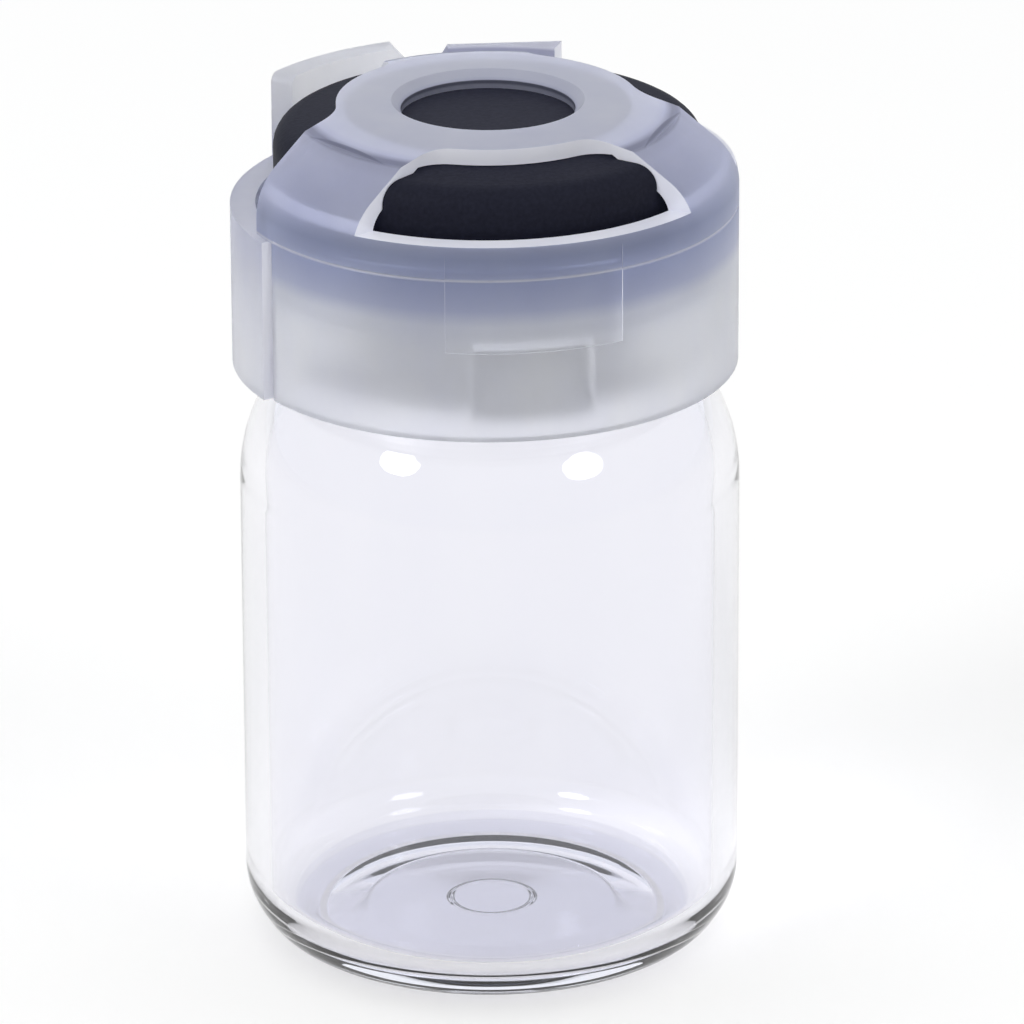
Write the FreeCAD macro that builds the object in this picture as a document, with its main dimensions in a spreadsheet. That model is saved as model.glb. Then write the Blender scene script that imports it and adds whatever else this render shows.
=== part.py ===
import FreeCAD, Part
import math
import os
import Sketcher

# A small serum vial: a glass vial, a rubber stopper and a tear cap that snaps over the lip.
# Millimetres. The vial stands on z = 0 with its axis on Z, and its front faces -Y.
# Directions round the axis are in degrees, counterclockwise from +X seen from above.

document = FreeCAD.newDocument("SerumVial")

GLASS_SIZES = [
    ("body_diameter", 22.0),
    ("body_wall", 1.1),
    ("glass_height", 34.5),
    ("base_wall", 0.95),
    ("foot_inset", 3.2),
    ("foot_width", 0.4),
    ("heel_rise", 2.3),
    ("heel_knee_inset", 1.1),
    ("heel_knee_rise", 0.55),
    ("heel_upper_round", 3.0),
    ("heel_lower_round", 2.2),
    ("inner_heel_round", 1.8),
    ("punt_slope", 1.9),
    ("punt_rise", 0.45),
    ("punt_crown", 0.1),
    ("mould_ring_radius", 1.85),
    ("mould_ring_width", 0.3),
    ("finish_height", 13.0),
    ("shoulder_run", 0.285),
    ("shoulder_angle", 45.0),
    ("neck_inset", 2.75),
    ("neck_round", 1.2),
    ("neck_wall", 1.95),
    ("bore_round", 0.8),
    ("lip_inset", 1.0),
    ("lip_thickness", 3.5),
    ("lip_chamfer", 0.4),
]

STOPPER_SIZES = [
    ("flange_inset", 0.65),
    ("flange_thickness", 3.5),
    ("flange_slope", 3.15),
    ("flange_fall", 0.34),
    ("flange_round", 1.0),
    ("plug_clearance", 0.05),
    ("plug_length", 7.6),
    ("plug_lead", 1.6),
    ("plug_lead_inset", 0.35),
    ("recess_diameter", 7.0),
    ("recess_depth", 7.0),
    ("recess_draft", 0.3),
]

CAP_SIZES = [
    ("lip_gap", 0.15),
    ("skirt_wall", 0.77),
    ("cap_height", 11.78),
    ("crown_wall", 0.78),
    ("crown_angle", 37.5),
    ("crown_corner_drop", 2.56),
    ("crown_round", 2.65),
    ("crown_inner_round", 1.5),
    ("crease_inset", 2.62),
    ("crown_flat_inset", 4.57),
    ("spoke_wall", 0.7),
    ("flange_gap", 0.5),
    ("lip_head_room", 0.1),
    ("shelf_rise", 0.35),
    ("hole_diameter", 7.6),
    ("hole_chamfer", 0.4),
    ("ring_inset", 4.32),
    ("ring_round", 1.6),
    ("spoke_width", 6.4),
    ("seat_clearance", 0.05),
    ("window_angle", -79.2),
    ("window_count", 3),
    ("window_sill", 1.25),
    ("score_inset", 2.92),
    ("score_depth", 0.14),
    ("seam_rise", 0.23),
    ("seam_depth", 0.08),
    ("seam_end_angle", 2.0),
    ("core_mark_angle", 41.4),
    ("core_mark_depth", 0.06),
    ("hook_angle", 29.6),
    ("hook_neck_gap", 0.65),
    ("hook_lip_gap", 0.1),
    ("hook_lift", 0.6),
    ("hook_edge", 0.7),
    ("strip_start_angle", 73.0),
    ("strip_angle", 137.0),
    ("strip_proud", 0.34),
    ("ledge_drop", 0.3),
    ("slit_width", 0.25),
    ("slit_depth", 0.3),
    ("grip_angle", 75.0),
    ("grip_height", 3.8),
    ("grip_round", 0.45),
    ("tab_angle", 94.4),
    ("tab_flat_inset", 0.74),
    ("tab_drop", 0.15),
    ("notch_angle", 105.0),
    ("notch_depth", 1.78),
    ("notch_left_width", 1.55),
    ("notch_right_width", 1.05),
    ("cut_room", 1.0),
]

sizes = document.addObject("Spreadsheet::Sheet", "Sizes")
for row, (alias, number) in enumerate(GLASS_SIZES + STOPPER_SIZES + CAP_SIZES, start=1):
    sizes.set(f"A{row}", alias.replace("_", " "))
    sizes.set(f"B{row}", str(number))
    sizes.setAlias(f"B{row}", alias)
document.recompute()

# Radius that a sketch's round corner has until its own dimension is set
FIRST_ROUND = 0.1


def origin_plane(body, role):
    """One of the three planes of a body's own origin."""
    return next(feature for feature in body.Origin.OriginFeatures if feature.Role == role)


def upright_sketch(body, name, direction="0"):
    """A sketch on the upright plane that holds the axis and looks out in a direction."""
    sketch = body.newObject("Sketcher::SketchObject", name)
    sketch.AttachmentSupport = [(origin_plane(body, "XZ_Plane"), "")]
    sketch.MapMode = "FlatFace"
    turn = FreeCAD.Rotation(FreeCAD.Vector(0, 1, 0), 1)
    sketch.AttachmentOffset = FreeCAD.Placement(FreeCAD.Vector(), turn)
    sketch.setExpression("AttachmentOffset.Rotation.Angle", direction)
    return sketch


def level_sketch(body, name, height, direction="0"):
    """A sketch seen from above at a height, with its own x turned to a direction."""
    sketch = body.newObject("Sketcher::SketchObject", name)
    sketch.AttachmentSupport = [(origin_plane(body, "XY_Plane"), "")]
    sketch.MapMode = "FlatFace"
    turn = FreeCAD.Rotation(FreeCAD.Vector(0, 0, 1), 1)
    sketch.AttachmentOffset = FreeCAD.Placement(FreeCAD.Vector(), turn)
    sketch.setExpression("AttachmentOffset.Rotation.Angle", direction)
    sketch.setExpression("AttachmentOffset.Base.z", height)
    return sketch


def add_size(sketch, name, kind, places, formula, first_value=1.0):
    """A named dimension of a sketch that follows a formula."""
    index = sketch.addConstraint(Sketcher.Constraint(kind, *places, first_value))
    sketch.renameConstraint(index, name)
    sketch.setExpression(f"Constraints.{name}", formula)


def round_corner(sketch, name, line, end, formula):
    """Replaces a sketch's corner by an arc that runs into both of its sides."""
    arc = sketch.GeometryCount
    sketch.fillet(line, end, FIRST_ROUND, True, True)
    add_size(sketch, f"{name}_round", "Radius", (arc,), formula)


def draw_outline(sketch, corners, closed=True):
    """A run of straight lines through named corners, closed unless an arc is to close it.

    Each corner has two formulas for its place, and a third for its radius where it is round.
    """
    count = len(corners)
    lines = count if closed else count - 1
    # The lines start out round a circle and the dimensions bring them into place.
    spots = [FreeCAD.Vector(math.cos(2 * math.pi * i / count), math.sin(2 * math.pi * i / count), 0)
             for i in range(count)]
    for i in range(lines):
        sketch.addGeometry(Part.LineSegment(spots[i], spots[(i + 1) % count]), False)
    for i in range(count if closed else lines - 1):
        sketch.addConstraint(Sketcher.Constraint("Coincident", i, 2, (i + 1) % count, 1))
    for i, (name, formulas) in enumerate(corners.items()):
        place = (i, 1) if i < lines else (i - 1, 2)
        add_size(sketch, f"{name}_across", "DistanceX", (-1, 1, *place), formulas[0])
        add_size(sketch, f"{name}_up", "DistanceY", (-1, 1, *place), formulas[1])
    document.recompute()
    for i, (name, formulas) in enumerate(corners.items()):
        for formula in formulas[2:]:
            round_corner(sketch, name, i, 1, formula)
    document.recompute()


def join_arc(sketch, arc, first, second):
    """Ties an arc's two ends to two points of a sketch, in either order."""
    spot = sketch.getPoint(*first)
    if (sketch.getPoint(arc, 1) - spot).Length > (sketch.getPoint(arc, 2) - spot).Length:
        first, second = second, first
    sketch.addConstraint(Sketcher.Constraint("Coincident", arc, 1, *first))
    sketch.addConstraint(Sketcher.Constraint("Coincident", arc, 2, *second))


def revolve(body, name, kind, sketch, sweep="360", centred=False):
    """Turns a sketch about the axis, to add (Revolution) or to cut (Groove)."""
    feature = body.newObject(f"PartDesign::{kind}", name)
    feature.Profile = (sketch, [""])
    feature.ReferenceAxis = (sketch, ["V_Axis"])
    feature.Midplane = centred
    feature.setExpression("Angle", sweep)
    document.recompute()
    return feature


def cut_upward(body, name, sketch, depth):
    """Pocket that goes up from a level sketch."""
    pocket = body.newObject("PartDesign::Pocket", name)
    pocket.Profile = (sketch, [""])
    pocket.Reversed = True
    pocket.setExpression("Length", depth)
    document.recompute()
    return pocket


def repeat_round_axis(body, name, feature):
    """Repeats a feature once for each window."""
    pattern = body.newObject("PartDesign::PolarPattern", name)
    pattern.Originals = [feature]
    pattern.Axis = (origin_plane(body, "Z_Axis"), [""])
    pattern.Angle = 360
    pattern.setExpression("Occurrences", "Sizes.window_count")
    body.Tip = pattern
    document.recompute()
    return pattern


def round_edges(body, name, radius, wanted):
    """Fillet on every edge of the body's last feature that the test picks."""
    base = body.Tip
    edges = [f"Edge{i + 1}" for i, edge in enumerate(base.Shape.Edges) if wanted(edge)]
    fillet = body.newObject("PartDesign::Fillet", name)
    fillet.Base = (base, edges)
    fillet.setExpression("Radius", radius)
    document.recompute()
    return fillet


def is_level_at(angle, height):
    """Picks the level edge that runs straight out from the axis in a direction."""
    def test(edge):
        spots = (edge.Vertexes[0].Point, edge.Vertexes[-1].Point)
        return all(abs(spot.z - height) < 1e-3
                   and abs(math.degrees(math.atan2(spot.y, spot.x)) - angle) < 1e-3
                   for spot in spots)
    return test


# Formulas that more than one piece uses, all from the driving sizes
BODY_RADIUS = "Sizes.body_diameter / 2"
NECK_RADIUS = f"({BODY_RADIUS} - Sizes.neck_inset)"
BORE_RADIUS = f"({NECK_RADIUS} - Sizes.neck_wall)"
LIP_RADIUS = f"({BODY_RADIUS} - Sizes.lip_inset)"
FLANGE_RADIUS = f"({LIP_RADIUS} - Sizes.flange_inset)"
LIP_UNDERSIDE = "Sizes.glass_height - Sizes.lip_thickness"
FLANGE_TOP = "Sizes.glass_height + Sizes.flange_thickness"
CAP_TOP = f"({FLANGE_TOP} + Sizes.crown_wall)"
CAP_BOTTOM = f"({CAP_TOP} - Sizes.cap_height)"
SKIRT_INNER = f"({LIP_RADIUS} + Sizes.lip_gap)"
SKIRT_OUTER = f"({SKIRT_INNER} + Sizes.skirt_wall)"
STRIP_OUTER = f"({SKIRT_OUTER} + Sizes.strip_proud)"
CROWN_INNER = f"({FLANGE_RADIUS} + Sizes.flange_gap)"
CROWN_CORNER = f"({CAP_TOP} - Sizes.crown_corner_drop)"
CREASE = f"({SKIRT_OUTER} - Sizes.crease_inset)"
RING_RADIUS = f"({SKIRT_OUTER} - Sizes.ring_inset)"
LEDGE = "(Sizes.glass_height - Sizes.ledge_drop)"
SILL = "(Sizes.glass_height + Sizes.window_sill)"


def crown_line(radius, depth="0"):
    """Height of the crown's sloping face at a radius, or of a face a depth under it."""
    rise = f"({SKIRT_OUTER} - {radius}) * tan(Sizes.crown_angle)"
    return f"({CROWN_CORNER} + {rise} - ({depth}) / cos(Sizes.crown_angle))"


def crown_reach(height, depth="0"):
    """Radius at which that face reaches a height."""
    rise = f"({height} - {CROWN_CORNER} + ({depth}) / cos(Sizes.crown_angle))"
    return f"({SKIRT_OUTER} - {rise} / tan(Sizes.crown_angle))"


def make_glass_vial():
    """Tubular glass: rounded heel, punt, round shoulder, neck and a flat lip for the stopper."""
    body = document.addObject("PartDesign::Body", "GlassVial")
    body.Label = "glass_vial"
    inner_radius = f"({BODY_RADIUS} - Sizes.body_wall)"
    punt_height = "(Sizes.punt_rise + Sizes.punt_crown)"
    floor = f"({punt_height} + Sizes.base_wall)"
    # The shoulder's arc takes what the neck's arc and a short straight run leave of the slope.
    half_turn = "tan(Sizes.shoulder_angle / 2)"
    slope = "(Sizes.neck_inset / sin(Sizes.shoulder_angle) - Sizes.shoulder_run)"
    shoulder_round = f"({slope} / {half_turn} - Sizes.neck_round)"
    inner_round = f"({shoulder_round} - Sizes.body_wall)"
    shoulder_start = "(Sizes.glass_height - Sizes.finish_height)"
    outer_corner = f"({shoulder_start} + {shoulder_round} * {half_turn})"
    inner_corner = f"({shoulder_start} + {inner_round} * {half_turn})"
    neck_corner = f"{outer_corner} + Sizes.neck_inset / tan(Sizes.shoulder_angle)"
    bore_corner = f"{inner_corner} + ({inner_radius} - {BORE_RADIUS}) / tan(Sizes.shoulder_angle)"
    foot_radius = f"({BODY_RADIUS} - Sizes.foot_inset)"
    foot_inside = f"({foot_radius} - Sizes.foot_width)"
    sketch = upright_sketch(body, "GlassSection")
    draw_outline(sketch, {
        "punt_centre": ("0", punt_height),
        "punt_edge": (f"{foot_inside} - Sizes.punt_slope", "Sizes.punt_rise"),
        "foot_inside": (foot_inside, "0"),
        "foot_outside": (foot_radius, "0"),
        "heel_knee": (f"{BODY_RADIUS} - Sizes.heel_knee_inset", "Sizes.heel_knee_rise",
                      "Sizes.heel_lower_round"),
        "heel_top": (BODY_RADIUS, "Sizes.heel_rise", "Sizes.heel_upper_round"),
        "shoulder": (BODY_RADIUS, outer_corner, shoulder_round),
        "neck_foot": (NECK_RADIUS, neck_corner, "Sizes.neck_round"),
        "neck_top": (NECK_RADIUS, LIP_UNDERSIDE),
        "lip_under": (f"{LIP_RADIUS} - Sizes.lip_chamfer", LIP_UNDERSIDE),
        "lip_low": (LIP_RADIUS, f"{LIP_UNDERSIDE} + Sizes.lip_chamfer"),
        "lip_high": (LIP_RADIUS, "Sizes.glass_height - Sizes.lip_chamfer"),
        "lip_top": (f"{LIP_RADIUS} - Sizes.lip_chamfer", "Sizes.glass_height"),
        "mouth": (f"{BORE_RADIUS} + Sizes.lip_chamfer", "Sizes.glass_height"),
        "bore_top": (BORE_RADIUS, "Sizes.glass_height - Sizes.lip_chamfer"),
        "bore_foot": (BORE_RADIUS, bore_corner, "Sizes.bore_round"),
        "inner_shoulder": (inner_radius, inner_corner, inner_round),
        "inner_heel": (inner_radius, floor, "Sizes.inner_heel_round"),
        "floor_centre": ("0", floor),
    })
    revolve(body, "GlassForm", "Revolution", sketch)
    # The ring that the forming pin leaves in the middle of the base
    ring_height = "Sizes.punt_rise + Sizes.punt_crown"
    ring = upright_sketch(body, "MouldRingSection")
    draw_outline(ring, {
        "inside": ("Sizes.mould_ring_radius - Sizes.mould_ring_width / 2", "0"),
        "outside": ("Sizes.mould_ring_radius + Sizes.mould_ring_width / 2", "0"),
        "peak": ("Sizes.mould_ring_radius", f"{ring_height} + Sizes.mould_ring_width / 2"),
    })
    revolve(body, "MouldRing", "Groove", ring)
    return body


def cut_window(body, name, direction, floor, side_room):
    """Cuts one window between two spokes, from a floor up through the crown.

    It leaves the ring round the needle hole and the parallel-sided spokes, with a round corner
    where a spoke leaves the ring.
    """
    spoke_side = f"(Sizes.spoke_width / 2 + {side_room})"
    corner_radius = f"({RING_RADIUS} + Sizes.ring_round)"
    corner_side = f"({spoke_side} + Sizes.ring_round)"
    corner_along = f"sqrt({corner_radius}^2 - {corner_side}^2)"
    # Far enough out for the outline's straight outer side to clear the whole wall
    beyond = f"(2 * {STRIP_OUTER})"
    half_pitch = "(180 / Sizes.window_count)"

    def spoke_point(side, along, across):
        """A point given along and across one of the two spokes beside the window."""
        return (f"{across} * sin{half_pitch} + {along} * cos{half_pitch}",
                f"{side} * ({along} * sin{half_pitch} - {across} * cos{half_pitch})")

    def ring_point(side):
        share = f"{RING_RADIUS} / {corner_radius}"
        return spoke_point(side, f"({corner_along} * {share})", f"({corner_side} * {share})")

    sketch = level_sketch(body, f"{name}Plan", floor, direction)
    draw_outline(sketch, {
        "ring_right": ring_point(-1),
        "spoke_right": spoke_point(-1, corner_along, spoke_side),
        "outer_right": spoke_point(-1, beyond, spoke_side),
        "outer_left": spoke_point(1, beyond, spoke_side),
        "spoke_left": spoke_point(1, corner_along, spoke_side),
        "ring_left": ring_point(1),
    }, closed=False)
    # Arcs take the place of the two corner chords, and one about the axis closes the outline.
    right_corner, left_corner = 0, 4
    round_size = float(sizes.get("ring_round"))
    for chord in (right_corner, left_corner):
        sketch.toggleConstruction(chord)
        start = sketch.getPoint(chord, 1)
        end = sketch.getPoint(chord, 2)
        on_ring = start if start.Length < end.Length else end
        centre = on_ring * (1 + round_size / on_ring.Length)
        middle = centre - (2 * centre - start - end).normalize() * round_size
        arc = sketch.addGeometry(Part.Arc(start, middle, end), False)
        join_arc(sketch, arc, (chord, 1), (chord, 2))
        add_size(sketch, f"corner_round_{chord}", "Radius", (arc,), "Sizes.ring_round", round_size)
    start = sketch.getPoint(right_corner, 1)
    end = sketch.getPoint(left_corner, 2)
    arc = sketch.addGeometry(Part.Arc(start, FreeCAD.Vector(start.Length, 0, 0), end), False)
    join_arc(sketch, arc, (right_corner, 1), (left_corner, 2))
    add_size(sketch, "ring_radius", "Radius", (arc,), RING_RADIUS, start.Length)
    document.recompute()
    cut_upward(body, name, sketch, f"{CAP_TOP} - {floor} + Sizes.cut_room")


def window_directions():
    """Directions of all windows, the last one over the tear strip."""
    return [f"Sizes.window_angle + {i} * 360 / Sizes.window_count"
            for i in range(int(sizes.get("window_count")))]


def make_spoke_press():
    """The room that the spokes take in the rubber: it is cut from the stopper's edge."""
    body = document.addObject("PartDesign::Body", "SpokePress")
    depth = "Sizes.spoke_wall + Sizes.seat_clearance"
    sketch = upright_sketch(body, "PressSection")
    draw_outline(sketch, {
        "inner_low": (RING_RADIUS, crown_line(RING_RADIUS, depth)),
        "outer_low": (SKIRT_INNER, crown_line(SKIRT_INNER, depth)),
        "outer_high": (SKIRT_INNER, CAP_TOP),
        "inner_high": (RING_RADIUS, CAP_TOP),
    })
    revolve(body, "PressForm", "Revolution", sketch)
    for i, direction in enumerate(window_directions(), start=1):
        cut_window(body, f"PressWindow{i}", direction, f"({LIP_UNDERSIDE})", "Sizes.seat_clearance")
    return body


def make_rubber_stopper():
    """Rubber: a flange on the glass lip, a plug in the neck and a hollow under the middle."""
    body = document.addObject("PartDesign::Body", "RubberStopper")
    body.Label = "rubber_stopper"
    plug_radius = f"({BORE_RADIUS} - Sizes.plug_clearance)"
    plug_bottom = "(Sizes.glass_height - Sizes.plug_length)"
    recess_top = f"{plug_bottom} + Sizes.recess_depth"
    sketch = upright_sketch(body, "StopperSection")
    draw_outline(sketch, {
        "top_centre": ("0", FLANGE_TOP),
        "recess_centre": ("0", recess_top),
        "recess_edge": ("Sizes.recess_diameter / 2 - Sizes.recess_draft", recess_top),
        "recess_mouth": ("Sizes.recess_diameter / 2", plug_bottom),
        "plug_end": (f"{plug_radius} - Sizes.plug_lead_inset", plug_bottom),
        "plug_lead": (plug_radius, f"{plug_bottom} + Sizes.plug_lead"),
        "plug_root": (plug_radius, "Sizes.glass_height"),
        "flange_under": (FLANGE_RADIUS, "Sizes.glass_height"),
        "flange_edge": (FLANGE_RADIUS, f"{FLANGE_TOP} - Sizes.flange_fall", "Sizes.flange_round"),
        "flat_edge": (f"{FLANGE_RADIUS} - Sizes.flange_slope", FLANGE_TOP),
    })
    revolve(body, "StopperForm", "Revolution", sketch)
    press = make_spoke_press()
    seats = body.newObject("PartDesign::Boolean", "SpokeSeats")
    seats.Type = "Cut"
    seats.addObject(press)
    document.recompute()
    return body


def make_grip():
    """The wall that stands up from the tear strip: a grip wall, a notch and a flat tab."""
    body = document.addObject("PartDesign::Body", "Grip")
    grip_top = f"({LEDGE} + Sizes.grip_height)"
    beyond = f"({STRIP_OUTER} + Sizes.cut_room)"
    sketch = upright_sketch(body, "GripSection", "Sizes.strip_start_angle")
    draw_outline(sketch, {
        "inner_low": (SKIRT_INNER, f"{LEDGE} - 1"),
        "outer_low": (STRIP_OUTER, f"{LEDGE} - 1"),
        "outer_high": (STRIP_OUTER, grip_top),
        "inner_high": (SKIRT_INNER, grip_top),
    })
    revolve(body, "GripForm", "Revolution", sketch, "Sizes.grip_angle")
    # The tab is the stretch past the notch, flat outside and a little lower than the wall.
    tab_distance = f"({STRIP_OUTER} - Sizes.tab_flat_inset)"
    notch_side = f"{tab_distance} * tan(Sizes.notch_angle - Sizes.tab_angle)"
    facing = "Sizes.tab_angle - 90"
    flat = level_sketch(body, "TabFlatPlan", LEDGE, facing)
    draw_outline(flat, {
        "near_notch": (f"-{notch_side}", tab_distance),
        "near_end": (beyond, tab_distance),
        "far_end": (beyond, beyond),
        "far_notch": (f"-{notch_side}", beyond),
    })
    cut_upward(body, "TabFlat", flat, f"{grip_top} - {LEDGE} + Sizes.cut_room")
    top = level_sketch(body, "TabTopPlan", f"{grip_top} - Sizes.tab_drop", facing)
    draw_outline(top, {
        "inner_notch": (f"-{notch_side}", "0"),
        "inner_end": (beyond, "0"),
        "outer_end": (beyond, beyond),
        "outer_notch": (f"-{notch_side}", beyond),
    })
    cut_upward(body, "TabTop", top, "Sizes.tab_drop + Sizes.cut_room")
    notch = upright_sketch(body, "NotchFace", "Sizes.notch_angle - 90")
    slope_left = "Sizes.notch_left_width / Sizes.notch_depth"
    slope_right = "Sizes.notch_right_width / Sizes.notch_depth"
    draw_outline(notch, {
        "bottom": ("0", f"{grip_top} - Sizes.notch_depth"),
        "right": (f"{slope_right} * (Sizes.notch_depth + Sizes.cut_room)", f"{grip_top} + Sizes.cut_room"),
        "left": (f"-{slope_left} * (Sizes.notch_depth + Sizes.cut_room)", f"{grip_top} + Sizes.cut_room"),
    })
    pocket = body.newObject("PartDesign::Pocket", "Notch")
    pocket.Profile = (notch, [""])
    pocket.setExpression("Length", beyond)
    document.recompute()
    wall_end = float(sizes.get("strip_start_angle")) + float(sizes.get("grip_angle"))
    wall_top = (float(sizes.get("glass_height")) - float(sizes.get("ledge_drop"))
                + float(sizes.get("grip_height")))
    round_edges(body, "GripCorner", "Sizes.grip_round", is_level_at(wall_end, wall_top))
    return body


def make_snap_cap():
    """Clear plastic in one shot: skirt, crown with windows, hooks, tear strip and grip."""
    body = document.addObject("PartDesign::Body", "SnapCap")
    body.Label = "snap_cap"
    crown_underside = FLANGE_TOP
    flat_radius = f"({SKIRT_OUTER} - Sizes.crown_flat_inset)"
    hole_radius = "Sizes.hole_diameter / 2"
    shelf_low = "Sizes.glass_height + Sizes.lip_head_room"
    sketch = upright_sketch(body, "CapSection")
    draw_outline(sketch, {
        "skirt_end_inside": (SKIRT_INNER, CAP_BOTTOM),
        "skirt_end_outside": (SKIRT_OUTER, CAP_BOTTOM),
        "crown_corner": (SKIRT_OUTER, CROWN_CORNER, "Sizes.crown_round"),
        "crease": (CREASE, crown_line(CREASE)),
        "flat_edge": (flat_radius, CAP_TOP),
        "hole_edge": (f"{hole_radius} + Sizes.hole_chamfer", CAP_TOP),
        "hole_side": (hole_radius, f"{CAP_TOP} - Sizes.hole_chamfer"),
        "hole_under": (hole_radius, crown_underside),
        "spoke_root": (crown_reach(crown_underside, "Sizes.spoke_wall"), crown_underside),
        "inner_corner": (CROWN_INNER, crown_line(CROWN_INNER, "Sizes.spoke_wall"),
                         "Sizes.crown_inner_round"),
        "shelf_high": (CROWN_INNER, f"{shelf_low} + Sizes.shelf_rise"),
        "shelf_low": (SKIRT_INNER, shelf_low),
    })
    revolve(body, "CapForm", "Revolution", sketch)
    # The last window, over the strip, is open down to the ledge.
    *plain_directions, strip_direction = window_directions()
    for i, direction in enumerate(plain_directions, start=1):
        cut_window(body, f"Window{i}", direction, SILL, "0")
    cut_window(body, "StripWindow", strip_direction, LEDGE, "0")
    # Faint marks of the mould: a seam round the skirt and the core marks over the hooks
    seam_start = "Sizes.strip_start_angle + Sizes.strip_angle + Sizes.seam_end_angle"
    seam = upright_sketch(body, "SeamSection", seam_start)
    seam_height = "(Sizes.glass_height - Sizes.seam_rise)"
    draw_outline(seam, {
        "root": (f"{SKIRT_OUTER} - Sizes.seam_depth", seam_height),
        "low": (f"{SKIRT_OUTER} + Sizes.seam_depth", f"{seam_height} - 2 * Sizes.seam_depth"),
        "high": (f"{SKIRT_OUTER} + Sizes.seam_depth", f"{seam_height} + 2 * Sizes.seam_depth"),
    })
    revolve(body, "Seam", "Groove", seam, "360 - Sizes.strip_angle - 2 * Sizes.seam_end_angle")
    mark_top = f"{SILL} + Sizes.cut_room"
    for i, direction in enumerate(plain_directions, start=1):
        mark = upright_sketch(body, f"CoreMarkSection{i}", direction)
        draw_outline(mark, {
            "low_in": (f"{SKIRT_OUTER} - Sizes.core_mark_depth", LIP_UNDERSIDE),
            "low_out": (f"{SKIRT_OUTER} + Sizes.cut_room", LIP_UNDERSIDE),
            "high_out": (f"{SKIRT_OUTER} + Sizes.cut_room", mark_top),
            "high_in": (f"{SKIRT_OUTER} - Sizes.core_mark_depth", mark_top),
        })
        revolve(body, f"CoreMark{i}", "Groove", mark, "Sizes.core_mark_angle", centred=True)
    # Hooks that snap under the glass lip
    hook_top = f"({LIP_UNDERSIDE} - Sizes.hook_lip_gap)"
    hook_bottom = f"({CAP_BOTTOM} + Sizes.hook_lift)"
    hook_radius = f"{NECK_RADIUS} + Sizes.hook_neck_gap"
    hook_root = f"{SKIRT_INNER} + Sizes.skirt_wall / 2"
    hook = upright_sketch(body, "HookSection", "Sizes.window_angle")
    draw_outline(hook, {
        "root_high": (hook_root, hook_top),
        "edge_high": (hook_radius, hook_top),
        "edge_low": (hook_radius, f"{hook_top} - Sizes.hook_edge"),
        "lead_in": (SKIRT_INNER, hook_bottom),
        "root_low": (hook_root, hook_bottom),
    })
    one_hook = revolve(body, "Hook", "Revolution", hook, "Sizes.hook_angle", centred=True)
    repeat_round_axis(body, "Hooks", one_hook)
    # The tear strip stands proud of the skirt and ends at the ledge under one window.
    strip = upright_sketch(body, "StripSection", "Sizes.strip_start_angle")
    draw_outline(strip, {
        "inner_low": (f"{SKIRT_INNER} + Sizes.skirt_wall / 2", CAP_BOTTOM),
        "outer_low": (STRIP_OUTER, CAP_BOTTOM),
        "outer_high": (STRIP_OUTER, LEDGE),
        "inner_high": (f"{SKIRT_INNER} + Sizes.skirt_wall / 2", LEDGE),
    })
    revolve(body, "Strip", "Revolution", strip, "Sizes.strip_angle")
    slit = level_sketch(body, "SlitPlan", CAP_BOTTOM, "Sizes.strip_start_angle + Sizes.strip_angle")
    draw_outline(slit, {
        "inner_left": (f"{SKIRT_OUTER} - Sizes.slit_depth", "0"),
        "outer_left": (f"{STRIP_OUTER} + Sizes.cut_room", "0"),
        "outer_right": (f"{STRIP_OUTER} + Sizes.cut_room", "Sizes.slit_width"),
        "inner_right": (f"{SKIRT_OUTER} - Sizes.slit_depth", "Sizes.slit_width"),
    })
    cut_upward(body, "Slit", slit, f"{LEDGE} - {CAP_BOTTOM}")
    # A score across each spoke, where the crown tears
    score = upright_sketch(body, "ScoreSection", "Sizes.window_angle + 180 / Sizes.window_count")
    score_radius = f"({SKIRT_OUTER} - Sizes.score_inset)"
    crease_height = crown_line(CREASE)
    rise = f"({CAP_TOP} - {crease_height}) / ({CREASE} - {flat_radius})"
    surface = f"({crease_height} + ({CREASE} - {score_radius}) * {rise})"
    draw_outline(score, {
        "root": (score_radius, f"{surface} - Sizes.score_depth"),
        "outer": (f"{score_radius} + 2 * Sizes.score_depth", f"{surface} + Sizes.score_depth"),
        "inner": (f"{score_radius} - 2 * Sizes.score_depth", f"{surface} + Sizes.score_depth"),
    })
    groove = body.newObject("PartDesign::Pocket", "Score")
    groove.Profile = (score, [""])
    groove.Midplane = True
    groove.setExpression("Length", "Sizes.spoke_width + Sizes.cut_room")
    document.recompute()
    repeat_round_axis(body, "Scores", groove)
    grip = make_grip()
    joined = body.newObject("PartDesign::Boolean", "GripJoin")
    joined.Type = "Fuse"
    joined.addObject(grip)
    document.recompute()
    return body


pieces = [make_glass_vial(), make_rubber_stopper(), make_snap_cap()]
document.recompute()

for item in document.Objects:
    if "Invalid" in item.State or "Error" in item.State:
        raise RuntimeError(f"{item.Label} failed: {item.State}")
for piece in pieces:
    if piece.Shape.isNull() or not piece.Shape.isValid() or len(piece.Shape.Solids) != 1:
        raise RuntimeError(f"{piece.Label} is not one sound solid")

os.makedirs("parts", exist_ok=True)
for piece in pieces:
    piece.Shape.exportStep(f"parts/{piece.Label}.step")
    print(piece.Label, round(piece.Shape.Volume, 2), piece.Shape.BoundBox)
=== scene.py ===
import bmesh
import bpy
import math
from mathutils import Matrix, Vector


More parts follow.
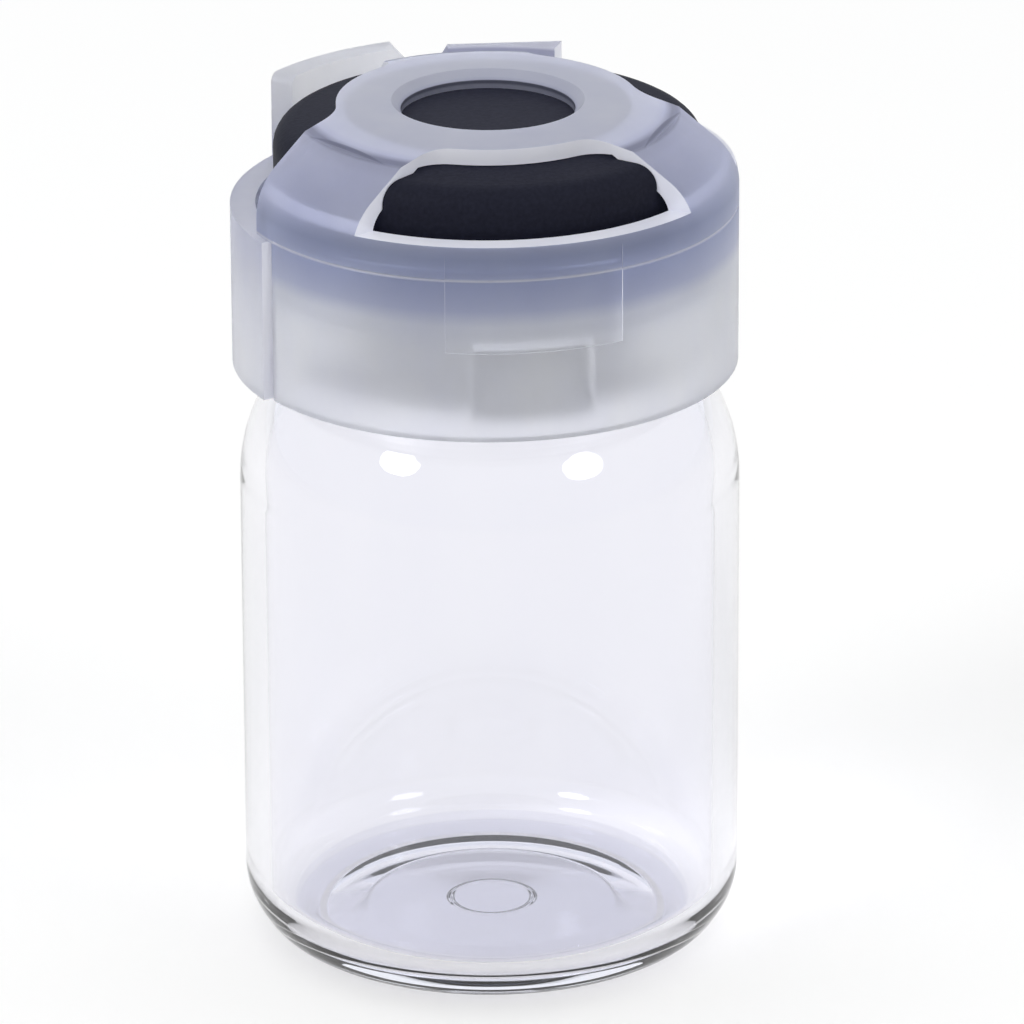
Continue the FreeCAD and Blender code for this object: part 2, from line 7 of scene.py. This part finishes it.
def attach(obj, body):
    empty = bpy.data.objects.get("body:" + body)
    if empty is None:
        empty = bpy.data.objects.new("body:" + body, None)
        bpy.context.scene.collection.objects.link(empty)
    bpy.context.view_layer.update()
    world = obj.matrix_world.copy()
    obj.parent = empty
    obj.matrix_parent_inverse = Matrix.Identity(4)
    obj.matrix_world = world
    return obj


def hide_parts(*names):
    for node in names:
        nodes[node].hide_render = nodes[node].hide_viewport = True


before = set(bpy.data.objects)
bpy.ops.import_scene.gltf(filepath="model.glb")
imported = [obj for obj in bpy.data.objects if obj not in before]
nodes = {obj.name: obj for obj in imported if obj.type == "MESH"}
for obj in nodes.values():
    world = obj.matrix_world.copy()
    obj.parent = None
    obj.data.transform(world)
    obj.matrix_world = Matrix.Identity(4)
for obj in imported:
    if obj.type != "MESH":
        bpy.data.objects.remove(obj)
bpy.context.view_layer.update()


# The glass vial. One piece of clear tube glass: the heel, the foot and the shoulder are formed in
# the flame, and a pin leaves the small ring in the middle of the base. It stands on its foot ring,
# and the flat lip at the top carries the stopper.

# Sizes in millimetres, which MM turns into metres
MM = 0.001
body_radius = 11.0
body_wall = 1.1
base_wall = 0.95
glass_height = 34.5
punt_rise = 0.45
punt_crown = 0.1
punt_radius = 5.5
punt_round = 1.5
pin_ring_radius = 1.85
pin_ring_half = 0.15
pin_ring_rise = 0.12
pin_ring_fall = 0.03
pin_ring_round = 0.06
pin_ring_foot_round = 0.2
foot_inside = 7.4
foot_outside = 7.8
foot_round = 0.4
heel_knee_inset = 1.1
heel_knee_rise = 0.55
heel_lower_round = 2.2
heel_height = 2.3
heel_upper_round = 3.0
inner_heel_round = 1.8
shoulder_start = 21.5
shoulder_radius = 7.5
shoulder_angle = math.radians(45)
neck_radius = 8.25
neck_round = 1.2
bore_radius = 6.3
bore_round = 0.8
lip_radius = 10.0
lip_thickness = 3.5
lip_round = 0.45
glass_segments = 256
base_reach = 8.8
base_top = 1.7

inner_radius = body_radius - body_wall
inner_shoulder_radius = shoulder_radius - body_wall
half_turn = math.tan(shoulder_angle / 2)
outer_corner = shoulder_start + shoulder_radius * half_turn
inner_corner = shoulder_start + inner_shoulder_radius * half_turn
neck_foot = outer_corner + (body_radius - neck_radius) / math.tan(shoulder_angle)
bore_foot = inner_corner + (inner_radius - bore_radius) / math.tan(shoulder_angle)
lip_underside = glass_height - lip_thickness
punt_height = punt_rise + punt_crown
glass_floor = punt_height + base_wall

# Corners from the middle of the base, up the outside and down the inside: across, up and round
glass_corners = [
    (0, punt_height, 0),
    (pin_ring_radius - pin_ring_half, punt_height - pin_ring_fall, pin_ring_foot_round),
    (pin_ring_radius, punt_height + pin_ring_rise, pin_ring_round),
    (pin_ring_radius + pin_ring_half, punt_height - pin_ring_fall, pin_ring_foot_round),
    (punt_radius, punt_rise, punt_round),
    (foot_inside, 0, foot_round),
    (foot_outside, 0, foot_round),
    (body_radius - heel_knee_inset, heel_knee_rise, heel_lower_round),
    (body_radius, heel_height, heel_upper_round),
    (body_radius, outer_corner, shoulder_radius),
    (neck_radius, neck_foot, neck_round),
    (neck_radius, lip_underside, lip_round),
    (lip_radius, lip_underside, lip_round),
    (lip_radius, glass_height, lip_round),
    (bore_radius, glass_height, lip_round),
    (bore_radius, bore_foot, bore_round),
    (inner_radius, inner_corner, inner_shoulder_radius),
    (inner_radius, glass_floor, inner_heel_round),
    (0, glass_floor, 0),
]


def rounded_outline(corners, step=math.radians(5)):
    """The corners' line with an arc at each round corner, in metres."""
    points = []
    for i, (across, up, radius) in enumerate(corners):
        here = Vector((across, up))
        if radius <= 0 or i in (0, len(corners) - 1):
            points.append(here * MM)
            continue
        before = (Vector(corners[i - 1][:2]) - here).normalized()
        after = (Vector(corners[i + 1][:2]) - here).normalized()
        half = before.angle(after) / 2
        middle = here + (before + after).normalized() * radius / math.sin(half)
        first = here + before * radius / math.tan(half) - middle
        last = here + after * radius / math.tan(half) - middle
        turn = math.atan2(first.x * last.y - first.y * last.x, first.dot(last))
        count = max(2, math.ceil(abs(turn) / step))
        for k in range(count + 1):
            points.append((middle + Matrix.Rotation(turn * k / count, 2) @ first) * MM)
    return points


def turned_piece(name, outline, segments):
    """A closed piece turned about the upright axis from an outline that starts and ends on it."""
    mesh = bpy.data.meshes.new(name)
    shape = bmesh.new()
    angles = [2 * math.pi * k / segments for k in range(segments)]
    rings = []
    for across, up in outline:
        places = [(across * math.cos(a), across * math.sin(a), up) for a in angles]
        on_axis = across < 0.0001 * MM
        if on_axis:
            places = [(0, 0, up)]
        rings.append([shape.verts.new(place) for place in places])
    for low, high in zip(rings, rings[1:]):
        for k in range(segments):
            after = (k + 1) % segments
            corners = [low[k % len(low)], low[after % len(low)],
                       high[after % len(high)], high[k % len(high)]]
            shape.faces.new(list(dict.fromkeys(corners)))
    bmesh.ops.recalc_face_normals(shape, faces=shape.faces)
    shape.to_mesh(mesh)
    shape.free()
    mesh.polygons.foreach_set("use_smooth", [True] * len(mesh.polygons))
    mesh.set_sharp_from_angle(angle=math.radians(40))
    piece = bpy.data.objects.new(name, mesh)
    bpy.context.scene.collection.objects.link(piece)
    return piece


def new_group(name, inputs, outputs):
    """An empty shader group with named sockets: numbers with their defaults in, results out."""
    group = bpy.data.node_groups.new(name, "ShaderNodeTree")
    for label, default in inputs.items():
        socket = group.interface.new_socket(label, in_out="INPUT", socket_type="NodeSocketFloat")
        socket.default_value = default
    for label, kind in outputs.items():
        group.interface.new_socket(label, in_out="OUTPUT", socket_type=kind)
    return group, group.nodes.new("NodeGroupInput"), group.nodes.new("NodeGroupOutput")


def new_material(name):
    """A material with its own Principled shader, ready to wire."""
    material = bpy.data.materials.new(name)
    material.use_nodes = True
    return material, material.node_tree, material.node_tree.nodes["Principled BSDF"]


def add_node(tree, kind, **values):
    """A node with some of its properties set."""
    node = tree.nodes.new(kind)
    for key, value in values.items():
        setattr(node, key, value)
    return node


# Fine grain: speckle at one scale, as a mask from 0 to 1 and as a height in metres
grain_group, grain_in, grain_out = new_group(
    "fine grain",
    {"Grains per metre": 4000.0, "Stretch": 1.0, "Depth": 0.00001, "Contrast": 1.0},
    {"Mask": "NodeSocketFloat", "Height": "NodeSocketFloat"})
place = add_node(grain_group, "ShaderNodeTexCoord")
stretch = add_node(grain_group, "ShaderNodeCombineXYZ")
stretch.inputs["X"].default_value = 1.0
stretch.inputs["Y"].default_value = 1.0
spread = add_node(grain_group, "ShaderNodeVectorMath", operation="MULTIPLY")
speckle = add_node(grain_group, "ShaderNodeTexNoise")
speckle.inputs["Detail"].default_value = 3.0
depth = add_node(grain_group, "ShaderNodeMath", operation="MULTIPLY")
centred = add_node(grain_group, "ShaderNodeMath", operation="SUBTRACT")
centred.inputs[1].default_value = 0.5
stronger = add_node(grain_group, "ShaderNodeMath", operation="MULTIPLY_ADD", use_clamp=True)
stronger.inputs[2].default_value = 0.5
grain_group.links.new(grain_in.outputs["Stretch"], stretch.inputs["Z"])
grain_group.links.new(place.outputs["Object"], spread.inputs[0])
grain_group.links.new(stretch.outputs["Vector"], spread.inputs[1])
grain_group.links.new(spread.outputs["Vector"], speckle.inputs["Vector"])
grain_group.links.new(grain_in.outputs["Grains per metre"], speckle.inputs["Scale"])
grain_group.links.new(speckle.outputs["Fac"], depth.inputs[0])
grain_group.links.new(grain_in.outputs["Depth"], depth.inputs[1])
grain_group.links.new(speckle.outputs["Fac"], centred.inputs[0])
grain_group.links.new(centred.outputs["Value"], stronger.inputs[0])
grain_group.links.new(grain_in.outputs["Contrast"], stronger.inputs[1])
grain_group.links.new(stronger.outputs["Value"], grain_out.inputs["Mask"])
grain_group.links.new(depth.outputs["Value"], grain_out.inputs["Height"])


def add_mottle(tree, per_metre, stretch_up, contrast=1.0):
    """Places the grain in a material for its mask alone."""
    grain = add_node(tree, "ShaderNodeGroup", node_tree=grain_group)
    grain.inputs["Grains per metre"].default_value = per_metre
    grain.inputs["Stretch"].default_value = stretch_up
    grain.inputs["Contrast"].default_value = contrast
    return grain


def add_grain(tree, shader, per_metre, stretch_up, depth, strength):
    """Places the grain in a material as bump, and returns its node for the mask. Depth is in mm."""
    grain = add_mottle(tree, per_metre, stretch_up)
    grain.inputs["Depth"].default_value = depth * MM
    bump = add_node(tree, "ShaderNodeBump")
    bump.inputs["Strength"].default_value = strength
    bump.inputs["Distance"].default_value = 1.0
    tree.links.new(grain.outputs["Height"], bump.inputs["Height"])
    tree.links.new(bump.outputs["Normal"], shader.inputs["Normal"])
    return grain


def shade_by_height(tree, shader, grain, stir, shades):
    """Base colour from (height in mm, colour) pairs, times a stir colour where the grain's mask is."""
    lowest, highest = shades[0][0], shades[-1][0]
    place = add_node(tree, "ShaderNodeTexCoord")
    split = add_node(tree, "ShaderNodeSeparateXYZ")
    level = add_node(tree, "ShaderNodeMapRange")
    level.inputs["From Min"].default_value = lowest * MM
    level.inputs["From Max"].default_value = highest * MM
    ramp = add_node(tree, "ShaderNodeValToRGB")
    stops = ramp.color_ramp.elements
    stops[0].color = (*shades[0][1], 1)
    stops[1].color = (*shades[-1][1], 1)
    for height, colour in shades[1:-1]:
        stop = stops.new((height - lowest) / (highest - lowest))
        stop.color = (*colour, 1)
    stirred = add_node(tree, "ShaderNodeMix", data_type="RGBA", blend_type="MULTIPLY")
    stirred.inputs["B"].default_value = (*stir, 1)
    tree.links.new(place.outputs["Object"], split.inputs["Vector"])
    tree.links.new(split.outputs["Z"], level.inputs["Value"])
    tree.links.new(level.outputs["Result"], ramp.inputs["Fac"])
    tree.links.new(ramp.outputs["Color"], stirred.inputs["A"])
    tree.links.new(grain.outputs["Mask"], stirred.inputs["Factor"])
    tree.links.new(stirred.outputs["Result"], shader.inputs["Base Color"])


def clear_for_shadows(tree, shader, tint):
    """Lets shadow rays through, so that a clear piece throws a light shadow."""
    path = add_node(tree, "ShaderNodeLightPath")
    through = add_node(tree, "ShaderNodeBsdfTransparent")
    through.inputs["Color"].default_value = (*tint, 1)
    choice = add_node(tree, "ShaderNodeMixShader")
    tree.links.new(path.outputs["Is Shadow Ray"], choice.inputs["Fac"])
    tree.links.new(shader.outputs["BSDF"], choice.inputs[1])
    tree.links.new(through.outputs["BSDF"], choice.inputs[2])
    tree.links.new(choice.outputs["Shader"], tree.nodes["Material Output"].inputs["Surface"])


def clear_glass(name, shades):
    """Clear glass with a faint lavender tint and slight draw lines, which shadow rays pass."""
    material, tree, shader = new_material(name)
    shader.inputs["Transmission Weight"].default_value = 1.0
    shader.inputs["IOR"].default_value = 1.5
    shader.inputs["Roughness"].default_value = 0.0
    draw_lines = add_grain(tree, shader, per_metre=260.0, stretch_up=0.12, depth=0.012, strength=0.35)
    shade_by_height(tree, shader, draw_lines, (0.97, 0.97, 0.985), shades)
    clear_for_shadows(tree, shader, (0.93, 0.93, 0.95))
    return material


vial = turned_piece("clear_glass_vial", rounded_outline(glass_corners), glass_segments)
vial.data.materials.append(clear_glass("clear tube glass", [
    (0.0, (0.93, 0.93, 0.96)),
    (4.5, (0.935, 0.935, 0.965)),
    (glass_height, (0.95, 0.948, 0.975)),
]))
# The middle of the base is painted a darker lavender grey: painted shade for the darker look of a base
# seen through several layers of glass.
vial.data.materials.append(clear_glass("glass of the base with painted shade", [
    (0.0, (0.81, 0.815, 0.885)),
    (2.0, (0.81, 0.815, 0.885)),
]))
for face in vial.data.polygons:
    middle = face.center / MM
    if middle.z < base_top and math.hypot(middle.x, middle.y) < base_reach:
        face.material_index = 1
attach(vial, "root")
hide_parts("glass_vial")


# The rubber stopper. One moulding of dark grey rubber with a soft matt skin of fine grain.
# Its flange lies on the glass lip, its plug fills the neck, and the cap's spokes press it down.
# The plug, below the flange, is painted paler: painted light for how it looks through the frosted skirt.
# The flange's top carries a faint painted sheen.

stopper = nodes["rubber_stopper"]
rubber, rubber_tree, rubber_shader = new_material("dark grey rubber")
rubber_shader.inputs["Roughness"].default_value = 0.62
rubber_shader.inputs["Specular IOR Level"].default_value = 0.08
skin = add_grain(rubber_tree, rubber_shader, per_metre=5200.0, stretch_up=1.0, depth=0.018, strength=0.6)
# Painted light by height: below 34.6 mm the plug is painted paler and bluer, and at 38 mm the flange's
# top is a little lighter, a painted sheen.
shade_by_height(rubber_tree, rubber_shader, skin, (0.4, 0.4, 0.45), [
    (25.0, (0.092, 0.099, 0.155)),
    (33.6, (0.078, 0.084, 0.130)),
    (34.6, (0.014, 0.015, 0.026)),
    (37.6, (0.015, 0.016, 0.028)),
    (38.0, (0.024, 0.025, 0.040)),
])
for slot in stopper.material_slots:
    slot.material = rubber


# The tear cap. One moulding of frosted natural plastic, snapped over the lip by three hooks:
# a skirt, a crown with three windows and a ring round the needle hole, and the tear strip with
# its grip wall and tab, which stand up behind the crown.

# Heights above the table and reaches from the axis, in millimetres, and turns in degrees
seam_height = 34.27
sill_height = 35.75
score_height = 38.29
ring_height = 38.5
ring_slope_foot = 38.2
ledge_heights = (34.1, 34.3)
window_heights = (35.2, 38.6)
window_reaches = (6.3, 10.0)
window_ring_side = 7.2
window_sill_side = 9.0
strip_top = 34.5
skirt_reach = 10.7
strip_reach = 11.0
wall_reach = 9.9
wall_end_reach = 10.1
wall_lowest_top = 36.9
tab_step = 37.8
tab_turns = (0, 106)
mould_edge = 0.09

cap_mesh = nodes["snap_cap"].data.copy()
shape = bmesh.new()
shape.from_mesh(cap_mesh)
bmesh.ops.remove_doubles(shape, verts=shape.verts, dist=0.002 * MM)
bmesh.ops.dissolve_limit(shape, angle_limit=math.radians(0.6), verts=shape.verts, edges=shape.edges)
shape.to_mesh(cap_mesh)
shape.free()
cap_mesh.polygons.foreach_set("use_smooth", [True] * len(cap_mesh.polygons))
cap_mesh.set_sharp_from_angle(angle=math.radians(35))
cap = bpy.data.objects.new("frosted_tear_cap", cap_mesh)
bpy.context.scene.collection.objects.link(cap)
edge = cap.modifiers.new("moulded edge", "BEVEL")
edge.width = mould_edge * MM
edge.segments = 2
edge.limit_method = "ANGLE"
edge.angle_limit = math.radians(28)


def frosted_plastic(name, see_through, shades):
    """Natural plastic with a fine frost and soft flow marks, as clear as see_through says."""
    material, tree, shader = new_material(name)
    shader.inputs["Transmission Weight"].default_value = see_through
    shader.inputs["IOR"].default_value = 1.45
    shader.inputs["Roughness"].default_value = 0.40
    add_grain(tree, shader, per_metre=3000.0, stretch_up=1.0, depth=0.012, strength=0.5)
    flow_marks = add_mottle(tree, per_metre=330.0, stretch_up=0.6, contrast=2.5)
    shade_by_height(tree, shader, flow_marks, (0.90, 0.905, 0.95), shades)
    clear_for_shadows(tree, shader, (0.45, 0.45, 0.48))
    return material


# Painted shade: the strip is darker from 33.5 mm to 35 mm, where the skirt and the dark rubber lie
# behind it.
strip_shades = [
    (27.0, (0.96, 0.965, 1.0)),
    (31.5, (0.90, 0.91, 0.98)),
    (33.5, (0.80, 0.81, 0.92)),
    (35.0, (0.82, 0.83, 0.93)),
]
cap_materials = [
    # Mostly painted light and shade: painted shade where the dark rubber lies behind the plastic (32.9
    # mm to 36 mm), a thin painted highlight line at the seam, painted shade along the score line, and
    # lighter towards the crown.
    frosted_plastic("frosted natural plastic", 0.73, [
        (27.0, (0.98, 0.985, 1.0)),
        (31.0, (0.97, 0.98, 1.0)),
        (32.2, (0.92, 0.94, 1.0)),
        (32.9, (0.64, 0.68, 0.86)),
        (seam_height - 0.08, (0.50, 0.55, 0.76)),
        (seam_height - 0.03, (0.97, 0.97, 1.0)),
        (seam_height + 0.03, (0.97, 0.97, 1.0)),
        (seam_height + 0.08, (0.50, 0.55, 0.76)),
        (35.2, (0.43, 0.48, 0.67)),
        (36.0, (0.64, 0.67, 0.84)),
        (37.8, (0.76, 0.78, 0.95)),
        (score_height - 0.12, (0.70, 0.72, 0.88)),
        (score_height - 0.04, (0.25, 0.26, 0.36)),
        (score_height + 0.04, (0.25, 0.26, 0.36)),
        (score_height + 0.12, (0.78, 0.79, 0.96)),
        (38.6, (0.93, 0.94, 1.0)),
        (38.8, (0.97, 0.97, 1.0)),
    ]),
    # A painted highlight: paler, less clear plastic for the window sides, the sill tops and the strip's
    # ends.
    frosted_plastic("painted edge highlight", 0.2, [
        (27.0, (0.96, 0.96, 1.0)),
        (39.0, (0.96, 0.96, 1.0)),
    ]),
    frosted_plastic("plastic of the strip and grip wall", 0.70, strip_shades + [
        (36.0, (0.975, 0.98, 1.0)),
        (38.0, (1.0, 1.0, 1.0)),
    ]),
    # Darker below the step, and painted light on the top face above the step.
    frosted_plastic("thick plastic of the tab", 0.75, strip_shades + [
        (36.0, (0.45, 0.46, 0.59)),
        (37.72, (0.40, 0.41, 0.54)),
        (37.84, (0.92, 0.92, 0.98)),
    ]),
    # Painted shade along the score line; lighter towards the top.
    frosted_plastic("milky ring plastic with painted shade", 0.55, [
        (38.1, (0.70, 0.72, 0.88)),
        (score_height - 0.10, (0.62, 0.64, 0.79)),
        (score_height - 0.03, (0.28, 0.29, 0.40)),
        (score_height + 0.03, (0.28, 0.29, 0.40)),
        (score_height + 0.12, (0.74, 0.76, 0.93)),
        (38.5, (0.84, 0.86, 1.0)),
        (38.8, (0.86, 0.875, 1.0)),
    ]),
]
plain, painted_edge_highlight, grip_wall, grip_tab, ring = range(len(cap_materials))


def cap_finish(face):
    """The number of the material that a face of the cap gets, from its place and its tilt."""
    middle = face.center / MM
    across = math.hypot(middle.x, middle.y)
    outward = Vector((middle.x, middle.y, 0)) / across
    turn = math.degrees(math.atan2(middle.y, middle.x))
    top = max(cap_mesh.vertices[corner].co.z for corner in face.vertices) / MM
    inward = -face.normal.dot(outward)
    sideways = abs(face.normal.cross(outward).z)
    steep = abs(face.normal.z) < 0.4
    flat = face.normal.z > 0.95

    # Sill tops, window sides and the strip's ends get the painted edge highlight.
    if flat and abs(middle.z - sill_height) < 0.1:
        return painted_edge_highlight
    in_window = (window_heights[0] < middle.z < window_heights[1]
                 and window_reaches[0] < across < window_reaches[1])
    on_sill_side = across > window_sill_side and inward > 0.6
    on_ring_side = across < window_ring_side and inward < -0.6
    if steep and in_window and (sideways > 0.3 or on_sill_side or on_ring_side):
        return painted_edge_highlight
    if across > skirt_reach and middle.z < strip_top and sideways > 0.25:
        return painted_edge_highlight

    in_wall = steep and top > wall_lowest_top and across > wall_reach
    on_wall_end = middle.z > strip_top and across > wall_end_reach and sideways > 0.7
    on_wall_top = middle.z > tab_step and across > wall_reach
    on_ledge = flat and ledge_heights[0] < middle.z < ledge_heights[1]
    if across > strip_reach or in_wall or on_wall_end or on_wall_top or on_ledge:
        return grip_tab if tab_turns[0] < turn < tab_turns[1] else grip_wall
    if middle.z > ring_height or (middle.z > ring_slope_foot and face.normal.z > 0.9):
        return ring
    return plain


cap_mesh.materials.clear()
for material in cap_materials:
    cap_mesh.materials.append(material)
for face in cap_mesh.polygons:
    face.material_index = cap_finish(face)
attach(cap, "root")
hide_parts("snap_cap")


# The floor. A plain pale sheet that keeps the vial's shadow. Its slight glow, which only the
# camera, mirrors and glass see, makes it look white where nothing stands on it.

floor_half = 3.0
floor_glow = 0.22


def seen_directly(tree):
    """A value that is 1 for camera, mirror and glass rays, and 0 for other rays."""
    path = add_node(tree, "ShaderNodeLightPath")
    camera_or_mirror = add_node(tree, "ShaderNodeMath", operation="ADD")
    any_of_them = add_node(tree, "ShaderNodeMath", operation="ADD", use_clamp=True)
    tree.links.new(path.outputs["Is Camera Ray"], camera_or_mirror.inputs[0])
    tree.links.new(path.outputs["Is Glossy Ray"], camera_or_mirror.inputs[1])
    tree.links.new(camera_or_mirror.outputs["Value"], any_of_them.inputs[0])
    tree.links.new(path.outputs["Is Transmission Ray"], any_of_them.inputs[1])
    return any_of_them.outputs["Value"]


floor_corners = [(x * floor_half, y * floor_half, 0) for x, y in ((-1, -1), (1, -1), (1, 1), (-1, 1))]
floor_mesh = bpy.data.meshes.new("floor")
floor_mesh.from_pydata(floor_corners, [], [(0, 1, 2, 3)])
floor = bpy.data.objects.new("floor", floor_mesh)
bpy.context.scene.collection.objects.link(floor)
pale, pale_tree, pale_shader = new_material("white sweep")
pale_shader.inputs["Base Color"].default_value = (0.80, 0.79, 0.76, 1)
pale_shader.inputs["Roughness"].default_value = 0.9
pale_shader.inputs["Specular IOR Level"].default_value = 0.0
pale_shader.inputs["Emission Color"].default_value = (1, 1, 1, 1)
glow = add_node(pale_tree, "ShaderNodeMath", operation="MULTIPLY")
glow.inputs[1].default_value = floor_glow
pale_tree.links.new(seen_directly(pale_tree), glow.inputs[0])
pale_tree.links.new(glow.outputs["Value"], pale_shader.inputs["Emission Strength"])
floor.data.materials.append(pale)


# The light. Two round soft boxes in front, a wide weak one overhead, and an even pale room,
# which is a little cool and dimmer as a light than it looks.

def soft_box(name, place, aim, width, watts):
    """A round soft box that faces a point."""
    light = bpy.data.lights.new(name, "AREA")
    light.shape = "DISK"
    light.size = width
    light.energy = watts
    box = bpy.data.objects.new(name, light)
    box.location = place
    box.rotation_euler = (Vector(aim) - Vector(place)).to_track_quat("-Z", "Y").to_euler()
    bpy.context.scene.collection.objects.link(box)


middle_of_vial = (0, 0, 0.02)
soft_box("left box", (-0.45, -0.35, 0.45), middle_of_vial, 0.2, 1.2)
soft_box("right box", (0.45, -0.35, 0.40), middle_of_vial, 0.2, 0.65)
soft_box("top box", (0.0, 0.10, 0.60), middle_of_vial, 0.5, 0.3)

room = bpy.data.worlds.new("white room")
room.use_nodes = True
room_tree = room.node_tree
room_light = room_tree.nodes["Background"]
room_path = add_node(room_tree, "ShaderNodeLightPath")
room_colour = add_node(room_tree, "ShaderNodeMix", data_type="RGBA")
room_colour.inputs["A"].default_value = (0.93, 0.95, 1.0, 1)
room_colour.inputs["B"].default_value = (1, 1, 1, 1)
room_level = add_node(room_tree, "ShaderNodeMapRange")
room_level.inputs["To Min"].default_value = 0.78
room_level.inputs["To Max"].default_value = 1.0
room_tree.links.new(room_path.outputs["Is Camera Ray"], room_colour.inputs["Factor"])
room_tree.links.new(room_colour.outputs["Result"], room_light.inputs["Color"])
room_tree.links.new(seen_directly(room_tree), room_level.inputs["Value"])
room_tree.links.new(room_level.outputs["Result"], room_light.inputs["Strength"])
bpy.context.scene.world = room


# The camera. A long lens from the front, looking down a little, as in the photograph, with the
# slight roll and turn that its upright edges show.

camera_distance = 0.390
camera_fall = math.radians(21.3)
camera_roll = math.radians(-0.2826)
camera_yaw = math.radians(0.1425)
aim_height = 0.01956
lens = bpy.data.cameras.new("long lens")
lens.sensor_width = 36
lens.lens = 310.66
lens.clip_end = 20
lens.dof.use_dof = False
ahead = Vector((0, math.cos(camera_fall), -math.sin(camera_fall)))
right = Vector((1, 0, 0))
up = right.cross(ahead)
rolled_right = math.cos(camera_roll) * right + math.sin(camera_roll) * up
rolled_up = math.cos(camera_roll) * up - math.sin(camera_roll) * right
turned_ahead = math.cos(camera_yaw) * ahead + math.sin(camera_yaw) * rolled_right
turned_right = math.cos(camera_yaw) * rolled_right - math.sin(camera_yaw) * ahead
camera_turn = Matrix((turned_right, rolled_up, -turned_ahead)).transposed().to_4x4()
camera_place = Vector((0, 0, aim_height)) - camera_distance * ahead
camera = bpy.data.objects.new("camera", lens)
camera.matrix_world = Matrix.Translation(camera_place) @ camera_turn
bpy.context.scene.collection.objects.link(camera)
bpy.context.scene.camera = camera
bpy.context.scene.view_settings.view_transform = "Standard"
